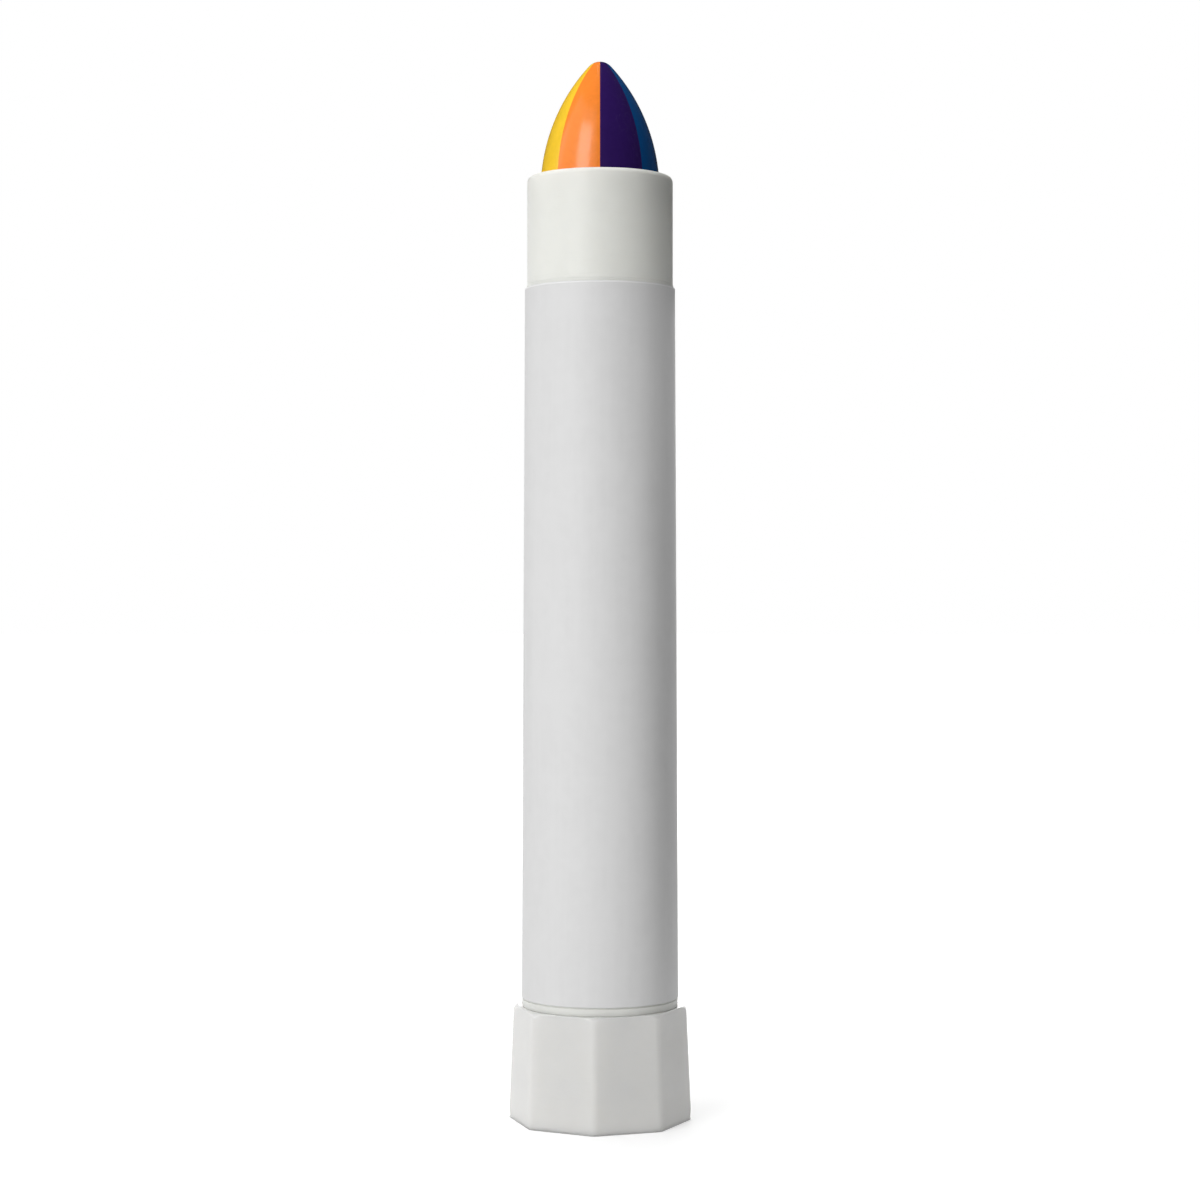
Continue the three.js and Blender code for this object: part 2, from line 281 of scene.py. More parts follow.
def turned_part(profile: np.ndarray, start: float, end: float, steps: int) -> Shell:
    """Part of a turn of a closed profile, with a flat face at each end.

    Args:
        profile: Rows of distance and height; the last joins the first.
        start: The angle of the first end face, in radians.
        end: The angle of the second.
        steps: How many equal steps lie between them.

    Returns:
        The closed surface.
    """
    angle = np.linspace(start, end, steps + 1)
    return woven(polar(profile, angle), wrap_columns=True, capped=True)


def block(low: tuple[float, float, float], high: tuple[float, float, float], ease: float = 0.0) -> Shell:
    """A box between two opposite corners, as square rings drawn in by the ease at both ends.

    Args:
        low: The lowest corner.
        high: The highest corner.
        ease: Width of the chamfer round the bottom and the top.

    Returns:
        The closed surface.
    """
    low, high = np.array(low), np.array(high)
    corner = np.array([(0, 0), (1, 0), (1, 1), (0, 1)])
    inward = 1 - 2 * corner
    levels = [(low[2], ease), (low[2] + ease, 0.0), (high[2] - ease, 0.0), (high[2], ease)]
    if ease == 0.0:
        levels = levels[::3]
    rings = [np.column_stack([low[:2] + corner * (high - low)[:2] + inward * inset, np.full(4, height)])
             for height, inset in levels]
    last = 4 * (len(rings) - 1)
    lids = [[3, 2, 1, 0], [last, last + 1, last + 2, last + 3]]
    return Shell(np.concatenate(rings), grid_faces(len(rings), 4, False, True) + lids)


@dataclass(frozen=True)
class Thread:
    """A trapezoidal screw thread about the marker's axis.

    Attributes:
        crest: Radius of its crest.
        root: Radius of its root.
        crest_width: Width of the flat crest.
        flank: Width of each slope.
        lead: Rise in one turn.
        turn: Which way it climbs.
    """

    crest: float
    root: float
    crest_width: float
    flank: float
    lead: float
    turn: Turn

    def grown(self, clearance: float) -> "Thread":
        """The thread of the nut that fits this one with a clearance all over."""
        return Thread(self.crest + clearance, self.root + clearance,
                      self.crest_width + 2 * clearance, self.flank, self.lead, self.turn)

    def rod(self, bottom: float, top: float, steps: int = 72) -> Shell:
        """A threaded rod, as one ribbon that winds along it and meets its own edges.

        A point's height is the turn's own height plus its place in a profile one lead tall, and
        the angle is a full turn for each lead of the turn's height, with the sign of the hand.
        Across a flank the radius falls from crest to root, partly by a straight ramp and partly
        by a smooth step.

        Args:
            bottom: The rod reaches below this height.
            top: The rod reaches above this height.
            steps: Steps in one turn.

        Returns:
            The surface, open at both ends.
        """
        half = self.crest_width / 2
        side = np.concatenate([half + self.flank * np.array(FLANK_SHARES), [self.lead / 2]])
        offset = np.concatenate([-side[::-1], [0.0], side])
        fall = np.clip((np.abs(offset) - half) / self.flank, 0, 1)
        eased = (1 - FLANK_EASE) * fall + FLANK_EASE * smooth_step(fall)
        radius = self.crest - (self.crest - self.root) * eased
        first = math.floor(bottom / self.lead) - 1
        last = math.ceil(top / self.lead) + 1
        centre = self.lead * np.linspace(first, last, (last - first) * steps + 1)
        angle = (self.turn.value * FULL * centre / self.lead)[:, None]
        points = np.stack([radius * np.cos(angle), radius * np.sin(angle),
                           centre[:, None] + offset[None, :]], axis=2)
        return woven(points)


def carve(piece: bpy.types.Object, other: Shell, how: Carve = Carve.CUT, sharp: float = CREASE) -> None:
    """Cuts one closed surface out of a piece, or joins or crosses it, and keeps only the result.

    Args:
        piece: The piece that changes.
        other: The surface that cuts it, joins it or bounds it.
        how: What is done with the two.
        sharp: Edges bent by more than this many degrees stay crisp.
    """
    tool = other.piece("tool", fill=True)
    modifier = piece.modifiers.new("carve", "BOOLEAN")
    modifier.operation = how.value
    modifier.solver = "EXACT"
    modifier.object = tool
    graph = bpy.context.evaluated_depsgraph_get()
    result = bpy.data.meshes.new_from_object(piece.evaluated_get(graph))
    old = piece.data
    piece.modifiers.clear()
    piece.data = result
    result.name = piece.name
    finish_shading(result, sharp)
    bpy.data.meshes.remove(old)
    bpy.data.objects.remove(tool)


# Node helpers and the effects that more than one finish uses


class Sheet:
    """A node tree that is being filled in, with short calls for the nodes used here."""

    def __init__(self, tree: bpy.types.NodeTree) -> None:
        """Starts on an empty tree."""
        self.tree = tree
        tree.nodes.clear()

    def add(self, kind: str, **settings: object) -> bpy.types.Node:
        """Adds a node of the given kind.

        Args:
            kind: The node's Blender type.
            settings: Properties of the node, by name.

        Returns:
            The new node.
        """
        node = self.tree.nodes.new(kind)
        for name, value in settings.items():
            setattr(node, name, value)
        return node

    def feed(self, value: object, target: Socket) -> None:
        """Joins a socket to the target, or sets the target to a plain value."""
        if isinstance(value, bpy.types.NodeSocket):
            self.tree.links.new(value, target)
        else:
            target.default_value = value

    def maths(self, operation: str, *values: object) -> Socket:
        """One Math node on the given sockets or numbers, and its result."""
        node = self.add("ShaderNodeMath", operation=operation)
        for value, target in zip(values, node.inputs):
            self.feed(value, target)
        return node.outputs[0]

    def scaled(self, vector: Socket, scale: tuple[float, float, float]) -> Socket:
        """A vector with each of its parts multiplied by its own number."""
        node = self.add("ShaderNodeVectorMath", operation="MULTIPLY")
        self.feed(vector, node.inputs[0])
        node.inputs[1].default_value = scale
        return node.outputs[0]

    def mapped(self, value: Socket, source: tuple[float, float], target: tuple[float, float]) -> Socket:
        """A value carried by a smooth step from one range to another, and held inside it."""
        node = self.add("ShaderNodeMapRange", interpolation_type="SMOOTHSTEP")
        self.feed(value, node.inputs["Value"])
        for name, limit in zip(("From Min", "From Max", "To Min", "To Max"), (*source, *target)):
            node.inputs[name].default_value = limit
        return node.outputs[0]

    def blend(self, factor: object, first: object, second: object) -> Socket:
        """A colour between two others, nearer to the second as the factor grows."""
        node = self.add("ShaderNodeMix", data_type="RGBA")
        self.feed(factor, node.inputs["Factor"])
        for value, label in ((first, "A"), (second, "B")):
            target = next(each for each in node.inputs if each.name == label and each.type == "RGBA")
            self.feed((*value, 1.0) if isinstance(value, tuple) else value, target)
        return next(each for each in node.outputs if each.type == "RGBA")


def effect(name: str, inputs: dict[str, float | None], outputs: list[str],
           fill: Callable[[Sheet, bpy.types.Node], dict[str, Socket]]) -> bpy.types.NodeTree:
    """Builds a shared node group once.

    Args:
        name: The group's name.
        inputs: Each input's default, or None for a vector.
        outputs: The names of the number outputs.
        fill: Fills the sheet from the group's input node and gives the socket of each output.

    Returns:
        The group, new or already made.
    """
    if name in bpy.data.node_groups:
        return bpy.data.node_groups[name]
    tree = bpy.data.node_groups.new(name, "ShaderNodeTree")
    sheet = Sheet(tree)
    for label, default in inputs.items():
        kind = "NodeSocketVector" if default is None else "NodeSocketFloat"
        socket = tree.interface.new_socket(label, in_out="INPUT", socket_type=kind)
        if default is not None:
            socket.default_value = default
    for label in outputs:
        tree.interface.new_socket(label, in_out="OUTPUT", socket_type="NodeSocketFloat")
    start = sheet.add("NodeGroupInput")
    end = sheet.add("NodeGroupOutput")
    for label, socket in fill(sheet, start).items():
        sheet.feed(socket, end.inputs[label])
    return tree


def mottle() -> bpy.types.NodeTree:
    """Soft cloudy unevenness: two octaves of noise, one four times finer than the other."""

    def fill(sheet: Sheet, start: bpy.types.Node) -> dict[str, Socket]:
        """Adds the coarse noise and the fine noise in the share that is asked for."""
        scale = sheet.maths("DIVIDE", 1.0, start.outputs["Size"])
        coarse = sheet.add("ShaderNodeTexNoise")
        fine = sheet.add("ShaderNodeTexNoise")
        for noise, times in ((coarse, 1.0), (fine, 4.0)):
            sheet.feed(start.outputs["Position"], noise.inputs["Vector"])
            sheet.feed(sheet.maths("MULTIPLY", scale, times), noise.inputs["Scale"])
            noise.inputs["Detail"].default_value = 2.0
        gap = sheet.maths("SUBTRACT", fine.outputs[0], coarse.outputs[0])
        part = sheet.maths("MULTIPLY", gap, start.outputs["Fineness"])
        return {"Value": sheet.maths("ADD", coarse.outputs[0], part)}

    return effect("mottle", {"Position": None, "Size": 0.002, "Fineness": 0.3}, ["Value"], fill)


def hairlines() -> bpy.types.NodeTree:
    """Thin marks: where a stretched noise passes its middle value, in patches of a broad noise."""
    middle = 0.5
    patch_scale = 0.23
    patch_edge = (0.48, 0.62)

    def fill(sheet: Sheet, start: bpy.types.Node) -> dict[str, Socket]:
        """Draws a line where the noise is within Width of its middle, faded by the patches."""
        noise = sheet.add("ShaderNodeTexNoise")
        patch = sheet.add("ShaderNodeTexNoise")
        for node, scale in ((noise, 1.0), (patch, patch_scale)):
            sheet.feed(start.outputs["Stretched"], node.inputs["Vector"])
            node.inputs["Scale"].default_value = scale
        noise.inputs["Detail"].default_value = 3.0
        away = sheet.maths("ABSOLUTE", sheet.maths("SUBTRACT", noise.outputs[0], middle))
        line = sheet.maths("SUBTRACT", 1.0, sheet.maths("DIVIDE", away, start.outputs["Width"]))
        shown = sheet.mapped(patch.outputs[0], patch_edge, (0.0, 1.0))
        return {"Mask": sheet.maths("MULTIPLY", sheet.maths("MAXIMUM", line, 0.0), shown)}

    return effect("hairlines", {"Stretched": None, "Width": 0.02}, ["Mask"], fill)


def flecks() -> bpy.types.NodeTree:
    """Small round spots: one in some of the cells of a Voronoi pattern."""
    spot_edge = (0.10, 0.22)

    def fill(sheet: Sheet, start: bpy.types.Node) -> dict[str, Socket]:
        """Marks the middle of each cell whose random number is under Share."""
        cells = sheet.add("ShaderNodeTexVoronoi")
        sheet.feed(start.outputs["Position"], cells.inputs["Vector"])
        sheet.feed(sheet.maths("DIVIDE", 1.0, start.outputs["Spacing"]), cells.inputs["Scale"])
        split = sheet.add("ShaderNodeSeparateColor")
        sheet.feed(cells.outputs["Color"], split.inputs[0])
        near = sheet.mapped(cells.outputs["Distance"], spot_edge, (1.0, 0.0))
        chosen = sheet.maths("LESS_THAN", split.outputs[0], start.outputs["Share"])
        return {"Mask": sheet.maths("MULTIPLY", near, chosen)}

    return effect("flecks", {"Position": None, "Spacing": 0.001, "Share": 0.2}, ["Mask"], fill)


class Surface:
    """One material in the making, with its Principled shader and the piece's own coordinates."""

    def __init__(self, name: str) -> None:
        """Starts a material that has only its shader and its output."""
        self.material = bpy.data.materials.new(name)
        self.material.use_nodes = True
        self.sheet = Sheet(self.material.node_tree)
        self.shader = self.sheet.add("ShaderNodeBsdfPrincipled")
        out = self.sheet.add("ShaderNodeOutputMaterial")
        self.sheet.feed(self.shader.outputs[0], out.inputs["Surface"])
        self.position = self.sheet.add("ShaderNodeTexCoord").outputs["Object"]

    def use(self, group: bpy.types.NodeTree, **values: object) -> Socket:
        """Places a shared effect.

        Args:
            group: The effect's node group.
            values: What each input gets, by name.

        Returns:
            The effect's first output.
        """
        node = self.sheet.add("ShaderNodeGroup")
        node.node_tree = group
        for name, value in values.items():
            self.sheet.feed(value, node.inputs[name])
        return node.outputs[0]

    def relief(self, height: Socket, depth: float, onto: Socket | None = None) -> Socket:
        """A bump of the given depth in metres, laid over an earlier one if there is one."""
        node = self.sheet.add("ShaderNodeBump")
        self.sheet.feed(height, node.inputs["Height"])
        node.inputs["Distance"].default_value = depth
        if onto is not None:
            self.sheet.feed(onto, node.inputs["Normal"])
        return node.outputs[0]

    def clouded(self, cloud: Socket, colour: Colour, tones: tuple[float, float]) -> Socket:
        """A colour times the first factor where the noise is low, and the second where it is high."""
        dark, light = (shade(colour, times) for times in tones)
        return self.sheet.blend(self.sheet.mapped(cloud, CLOUDS, (0.0, 1.0)), dark, light)

    def mottled(self, size: float, fineness: float, position: Socket | None = None) -> Socket:
        """Cloudy noise of a size in metres, at the piece's own coordinates or at others."""
        where = self.position if position is None else position
        return self.use(mottle(), Position=where, Size=size, Fineness=fineness)

    def polished(self, cloud: Socket, mean: float, spread: tuple[float, float]) -> Socket:
        """A roughness that a cloudy noise carries from below its mean to above it."""
        return self.sheet.mapped(cloud, CLOUDS, (mean - spread[0], mean + spread[1]))

    def set(self, **values: object) -> None:
        """Feeds the shader's inputs, named with underscores for spaces."""
        for name, value in values.items():
            target = self.shader.inputs[name.replace("_", " ")]
            if target.type == "RGBA" and isinstance(value, tuple):
                value = (*value, 1.0)
            self.sheet.feed(value, target)


def shade(colour: Colour, times: float) -> Colour:
    """A colour made lighter or darker by one factor."""
    return tuple(min(1.0, part * times) for part in colour)


# Finishes


@dataclass(frozen=True)
class MouldedPlastic:
    """Satin injection-moulded plastic, slightly cloudy in the light.

    Attributes:
        name: The material's name.
        colour: Its linear colour.
        roughness: Its mean roughness.
        glow: How much of the light wanders under the surface.
        depth: How far it wanders.
        shine: Strength of the surface's reflection, where 0.5 is plain plastic.
        peel: Depth of the fine moulded unevenness, in metres.
        rubbed: How strongly the marks of a cap and of hands show.
        tones: The darkest and the lightest of its clouds, as factors of the colour.
        spread: How far its roughness goes below and above the mean.
        mark_scale: How many cells the noise of those marks has to the metre, along each axis.
        mark_tone: The marks' tone, as a factor of the colour.
        mark_cover: How much of that tone they take on.
        mark_roughness: How much rougher they are.
        mark_depth: How deep they are, in metres.
    """

    name: str
    colour: Colour
    roughness: float
    glow: float = 0.4
    depth: float = 1.2 * MM
    shine: float = 0.5
    peel: float = 0.004 * MM
    rubbed: float = 0.5
    tones: tuple[float, float] = (0.985, 1.01)
    spread: tuple[float, float] = (0.04, 0.05)
    mark_scale: tuple[float, float, float] = (160.0, 160.0, 4200.0)
    mark_tone: float = 0.8
    mark_cover: float = 0.25
    mark_roughness: float = 0.2
    mark_depth: float = 0.002 * MM

    def material(self) -> bpy.types.Material:
        """Builds the material: cloudy tone, uneven polish, moulded grain and faint rub marks."""
        made = Surface(self.name)
        sheet = made.sheet
        tone = made.mottled(7 * MM, 0.35)
        polish = made.mottled(1.6 * MM, 0.5)
        grain = made.mottled(0.5 * MM, 0.5)
        across = sheet.scaled(made.position, self.mark_scale)
        marks = made.use(hairlines(), Stretched=across, Width=0.016)
        worn = sheet.maths("MULTIPLY", marks, self.rubbed)
        cover = sheet.maths("MULTIPLY", worn, self.mark_cover)
        base = made.clouded(tone, self.colour, self.tones)
        base = sheet.blend(cover, base, shade(self.colour, self.mark_tone))
        rough = made.polished(polish, self.roughness, self.spread)
        rough = sheet.maths("ADD", rough, sheet.maths("MULTIPLY", worn, self.mark_roughness))
        normal = made.relief(grain, self.peel)
        normal = made.relief(sheet.maths("SUBTRACT", 1.0, worn), self.mark_depth, normal)
        made.set(Base_Color=base, Roughness=rough, Normal=normal, IOR=1.49,
                 Specular_IOR_Level=self.shine, Subsurface_Weight=self.glow, Subsurface_Scale=self.depth)
        made.shader.inputs["Subsurface Radius"].default_value = (1.0, 0.97, 0.92)
        return made.material


@dataclass(frozen=True)
class LabelFilm:
    """Pale matt printed film, stuck down over a moulded body.

    Attributes:
        name: The material's name.
        colour: Its linear colour.
        top: Height of its upper cut edge.
        roughness: Its mean roughness.
        ripple: Depth of the soft waves where the film follows the body, in metres.
        tooth: Depth of its fine tooth, in metres.
        tones: The darkest and the lightest of its clouds, as factors of the colour.
        spread: How far its roughness goes below and above the mean.
        sheen_streak_draw: Factor on the height in the noise of its lighter streaks of painted sheen, so a
            small one draws them out.
        sheen_streak_tone: The tone of those streaks of painted sheen, as a factor of the colour.
        sheen_streak_cover: How much of that tone the painted sheen takes on at most.
        speck_tone: The specks' tone, as a factor of the colour.
        speck_cover: How much of that tone they take on.
        edge_highlight_span: How far under the top the painted highlight along the cut edge starts and is
            full, in metres.
        edge_highlight_tone: The tone of that painted highlight, as a factor of the colour.
    """

    name: str
    colour: Colour
    top: float
    roughness: float = 0.52
    ripple: float = 0.012 * MM
    tooth: float = 0.003 * MM
    tones: tuple[float, float] = (0.975, 1.015)
    spread: tuple[float, float] = (0.03, 0.04)
    # The lighter streaks are painted sheen.
    sheen_streak_draw: float = 0.06
    sheen_streak_tone: float = 1.03
    sheen_streak_cover: float = 0.6
    speck_tone: float = 0.7
    speck_cover: float = 0.05
    # The pale top edge is a painted highlight along the cut edge.
    edge_highlight_span: tuple[float, float] = (0.24 * MM, 0.14 * MM)
    edge_highlight_tone: float = 1.2

    def material(self) -> bpy.types.Material:
        """Builds the material: cloudy ink, long soft streaks of painted sheen, waves, a fine tooth and a
        painted highlight along the top edge.
        """
        made = Surface(self.name)
        sheet = made.sheet
        cloud = made.mottled(5 * MM, 0.4)
        drawn = sheet.scaled(made.position, (1.0, 1.0, self.sheen_streak_draw))
        sheen_streak = made.mottled(2.2 * MM, 0.3, drawn)
        tooth = made.mottled(0.22 * MM, 0.5)
        waves = made.mottled(6 * MM, 0.15)
        specks = made.use(flecks(), Position=made.position, Spacing=2.4 * MM, Share=0.06)
        split = sheet.add("ShaderNodeSeparateXYZ")
        sheet.feed(made.position, split.inputs[0])
        highlight_start, highlight_full = (self.top - down for down in self.edge_highlight_span)
        layers = (
            # Lighter streaks drawn out along the height: painted sheen.
            (sheet.mapped(sheen_streak, CLOUDS, (0.0, self.sheen_streak_cover)), self.sheen_streak_tone),
            (sheet.maths("MULTIPLY", specks, self.speck_cover), self.speck_tone),
            # A paler band under the top edge: a painted highlight along the cut edge.
            (sheet.mapped(split.outputs[2], (highlight_start, highlight_full), (0.0, 1.0)), self.edge_highlight_tone),
        )
        base = made.clouded(cloud, self.colour, self.tones)
        for mask, times in layers:
            base = sheet.blend(mask, base, shade(self.colour, times))
        rough = made.polished(cloud, self.roughness, self.spread)
        normal = made.relief(waves, self.ripple)
        normal = made.relief(tooth, self.tooth, normal)
        made.set(Base_Color=base, Roughness=rough, Normal=normal, IOR=1.45)
        return made.material


@dataclass(frozen=True)
class SolidPaint:
    """Waxy solid paint, cast and a little handled.

    Attributes:
        name: The material's name.
        paint: Which paint it is.
        roughness: Its mean roughness.
        skin: Depth of its fine unevenness, in metres.
        tones: The darkest and the lightest of its clouds, as factors of the colour.
        spread: How far its roughness goes below and above the mean.
        streak_scale: How many cells the noise of its streaks has to the metre, along each axis.
        streak_weight: How strong the streaks are among the scuffs.
        chip_weight: How strong the chips are among them.
        scuff_pale: Factor and step from the colour to that of a scuff.
        scuff_cover: How much of that colour a scuff takes on.
        scuff_roughness: How much rougher it is.
        scuff_depth: How deep it is, in metres.
    """

    name: str
    paint: Paint
    roughness: float = 0.18
    skin: float = 0.002 * MM
    tones: tuple[float, float] = (0.96, 1.03)
    spread: tuple[float, float] = (0.04, 0.06)
    streak_scale: tuple[float, float, float] = (1500.0, 1500.0, 220.0)
    streak_weight: float = 0.3
    chip_weight: float = 0.15
    scuff_pale: tuple[float, float] = (0.75, 0.2)
    scuff_cover: float = 0.08
    scuff_roughness: float = 0.15
    scuff_depth: float = 0.003 * MM

    def material(self) -> bpy.types.Material:
        """Builds the material: pigment clouds, casting streaks along the stick, and small scuffs."""
        made = Surface(self.name)
        sheet = made.sheet
        colour = self.paint.value
        cloud = made.mottled(1.8 * MM, 0.45)
        polish = made.mottled(0.9 * MM, 0.6)
        skin = made.mottled(0.35 * MM, 0.5)
        along = sheet.scaled(made.position, self.streak_scale)
        streaks = made.use(hairlines(), Stretched=along, Width=0.03)
        chips = made.use(flecks(), Position=made.position, Spacing=0.9 * MM, Share=0.08)
        factor, step = self.scuff_pale
        pale = tuple(factor * part + step for part in colour)
        scuffs = sheet.maths("MAXIMUM", sheet.maths("MULTIPLY", streaks, self.streak_weight),
                             sheet.maths("MULTIPLY", chips, self.chip_weight))
        base = made.clouded(cloud, colour, self.tones)
        base = sheet.blend(sheet.maths("MULTIPLY", scuffs, self.scuff_cover), base, pale)
        rough = made.polished(polish, self.roughness, self.spread)
        rough = sheet.maths("ADD", rough, sheet.maths("MULTIPLY", scuffs, self.scuff_roughness))
        normal = made.relief(skin, self.skin)
        normal = made.relief(sheet.maths("SUBTRACT", 1.0, scuffs), self.scuff_depth, normal)
        made.set(Base_Color=base, Roughness=rough, Normal=normal, IOR=1.46)
        return made.material


def seen(sheet: Sheet) -> Socket:
    """One for the camera's rays and for those that a gloss or a clear body sends on, and else nought."""
    path = sheet.add("ShaderNodeLightPath")
    onward = sheet.maths("MAXIMUM", path.outputs["Is Glossy Ray"], path.outputs["Is Transmission Ray"])
    return sheet.maths("MAXIMUM", path.outputs["Is Camera Ray"], onward)


def dress(piece: bpy.types.Object, material: bpy.types.Material) -> None:
    """Gives a piece one material all over."""
    piece.data.materials.clear()
    piece.data.materials.append(material)


def place(piece: bpy.types.Object, body: str, node: str) -> None:
    """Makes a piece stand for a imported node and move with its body.

    Args:
        piece: The finished piece.
        body: The body that it moves with.
        node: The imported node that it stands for.
    """
    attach(piece, body)
    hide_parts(node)
    log.info("%s: %d faces on %s", piece.name, len(piece.data.polygons), body)


# Sub-assemblies


@dataclass
class Casing:
    """The moulded barrel and the film label wrapped round it.

    Attributes:
        bore: Radius of the bore that the stick slides in.
        neck: Outside radius of the neck.
        rim_round: Width of the rounding of the mouth's outer edge.
        rim_ease: How many times taller than wide that rounding is.
        mouth_chamfer: Width of the mouth's inner edge.
        shoulder: Height of the body's bare band over the label.
        step_share: Share of that band, at its top, in which it narrows to the neck.
        neck_hold: From that band up to a ring of points that keeps the neck's shading straight.
        body_top: Outside radius of the body where it starts to narrow.
        band_rise: How far the band below the label stands proud of the body.
        band_room: Between that band and the label's lower edge.
        foot_round: Radius of the band's lower edge.
        seat: How far the foot that rubs on the knob reaches into the gap over it.
        band_edge: Width of the chamfer at the top of the band below the label.
        spigot: Outside radius of the spigot inside the knob.
        spigot_edge: Width of the chamfer at the spigot's end.
        bead: Radius of the spigot's snap bead.
        bead_height: Height of the bead's middle.
        bead_width: Width of the bead.
        keyway_width: Width of the two keyways in the bore.
        keyway: Radius of the keyways' floors.
        keyway_top: Height where the keyways end.
        slot_top: Height where the spigot's two slots end.
        knob_gap: From the knob's top up to the body's foot.
        film: Thickness of the label.
        adhesive: Gap between the label and the body.
        overlap: How far the label's outer end laps over its inner end, at the back.
        lap_gap: Air under the lapped end.
        cut_edge: Width of the eased edge at the label's top and foot.
    """

    bore: float = 6.75 * MM
    neck: float = 8.0 * MM
    rim_round: float = 0.32 * MM
    rim_ease: float = 1.8
    mouth_chamfer: float = 0.3 * MM
    shoulder: float = 0.4 * MM
    step_share: float = 0.35
    neck_hold: float = 3 * MM
    body_top: float = 8.07 * MM
    band_rise: float = 0.12 * MM
    band_room: float = 0.12 * MM
    foot_round: float = 0.05 * MM
    seat: float = 0.095 * MM
    band_edge: float = 0.04 * MM
    spigot: float = 7.45 * MM
    spigot_edge: float = 0.2 * MM
    bead: float = 7.95 * MM
    bead_height: float = 4.4 * MM
    bead_width: float = 1.6 * MM
    keyway_width: float = 2.0 * MM
    keyway: float = 7.35 * MM
    keyway_top: float = 87.5 * MM
    slot_top: float = 11.8 * MM
    knob_gap: float = 0.1 * MM
    film: float = 0.13 * MM
    adhesive: float = 0.05 * MM
    overlap: float = 1.6 * MM
    lap_gap: float = 0.01 * MM
    cut_edge: float = 0.07 * MM
    plastic: MouldedPlastic = MouldedPlastic(
        "barrel_plastic", (0.81, 0.815, 0.77), roughness=0.4, glow=0.5, depth=1.6 * MM, shine=0.3)
    label_colour: Colour = (0.70, 0.70, 0.70)
    label_span: tuple[float, float] = field(init=False)
    span: tuple[float, float] = field(init=False)
    body_foot: float = field(init=False)
    knob_top: float = field(init=False)

    def __post_init__(self) -> None:
        """Reads the heights and the foot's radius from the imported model."""
        low, high = corners("barrel")
        self.span = (low[2], high[2])
        self.body_foot = high[0] - self.band_rise
        low, high = corners("label_sleeve")
        self.label_span = (low[2], high[2])
        self.knob_top = corners("twist_knob")[1][2]

    def body(self, height: np.ndarray | float) -> np.ndarray | float:
        """Outside radius of the drafted body at a height: a straight line between its two ends."""
        top = self.label_span[1] + self.shoulder
        foot = self.knob_top + self.knob_gap
        share = (top - height) / (top - foot)
        return self.body_top + share * (self.body_foot - self.body_top)

    def barrel(self) -> bpy.types.Object:
        """Makes the barrel: one turned profile, with keyways and finger slots cut in it.

        Where the body narrows to the neck, its radius falls by half a wave of a cosine.
        """
        bottom, rim = self.span
        foot = self.knob_top + self.knob_gap
        shoulder_top = self.label_span[1] + self.shoulder
        half = self.bead_width / 2
        edge = self.rim_round
        band = self.body_foot + self.band_rise
        band_top = self.label_span[0] - self.band_room
        step_height = self.shoulder * self.step_share
        turn_in = self.foot_round
        ease = np.linspace(0, 1, 7)[1:-1]
        swell = 0.5 + 0.5 * np.cos(math.pi * ease)
        step = np.stack([self.neck + (self.body_top - self.neck) * swell,
                         shoulder_top - step_height * (1 - ease)], axis=1)
        heights = np.linspace(band_top, shoulder_top - step_height, 24)
        side = np.stack([self.body(heights), heights], axis=1)
        profile = outline(
            [(self.bore, bottom), (self.spigot - self.spigot_edge, bottom)],
            [(self.spigot, bottom + self.spigot_edge)],
            [(self.spigot, self.bead_height - half), (self.bead, self.bead_height - half / 2)],
            [(self.bead, self.bead_height + half / 2), (self.spigot, self.bead_height + half)],
            [(self.spigot, foot - self.seat)],
            arc((band - turn_in, foot - self.seat + turn_in), turn_in, -QUARTER, 0, 5),
            [(band, band_top - self.band_edge), (band - self.band_edge, band_top)],
            side,
            step,
            [(self.neck, shoulder_top), (self.neck, shoulder_top + self.neck_hold)],
            arc((self.neck - edge, rim - self.rim_ease * edge), edge, 0, QUARTER, 16, self.rim_ease),
            arc((self.bore + self.mouth_chamfer, rim - self.mouth_chamfer), self.mouth_chamfer,
                QUARTER, 2 * QUARTER, 6),
        )
        piece = turned(profile, steps=240).piece("barrel_shell")
        reach = self.keyway_width / 2
        inside = self.bore - 0.6 * MM
        outside = self.bead + 1 * MM
        for sign in (-1, 1):
            for wall, top in ((self.keyway, self.keyway_top), (outside, self.slot_top)):
                x = sorted((sign * inside, sign * wall))
                carve(piece, block((x[0], -reach, 0), (x[1], reach, top)))
        dress(piece, self.plastic.material())
        return piece

    def label(self) -> bpy.types.Object:
        """Makes the label: a thin sheet wound once round the body, its outer end lapped over.

        The sheet's inner radius is the body's radius plus the adhesive. One film thickness and the
        air under the lap are added smoothly over the last stretch of the turn, where it climbs
        over its start.
        """
        bottom, top = self.label_span
        lap = self.overlap / self.body_top
        start = QUARTER - lap / 2
        angle = np.linspace(start, start + FULL + lap, 260)
        rising = lap / 2
        climb = np.clip((angle - (start + FULL - rising)) / rising, 0, 1)
        lift = (self.film + self.lap_gap) * smooth_step(climb)
        tuck = self.cut_edge
        levels = np.concatenate([[bottom], np.linspace(bottom + tuck, top - tuck, 26), [top]])
        ease = np.zeros_like(levels)
        ease[[0, -1]] = tuck
        inner = self.body(levels)[None, :] + self.adhesive + lift[:, None]
        outer = inner + self.film - ease[None, :]
        section = np.concatenate([outer, inner[:, ::-1]], axis=1)
        height = np.concatenate([levels, levels[::-1]])
        points = np.stack([
            section * np.cos(angle)[:, None],
            section * np.sin(angle)[:, None],
            np.broadcast_to(height, section.shape),
        ], axis=2)
        piece = woven(points, wrap_columns=True, capped=True).piece("label_film_sheet")
        dress(piece, LabelFilm("label_film", self.label_colour, self.label_span[1]).material())
        return piece

    def build(self) -> None:
        """Makes both pieces and fixes them to the barrel's body."""
        place(self.barrel(), "barrel", "barrel")
        place(self.label(), "barrel", "label_sleeve")


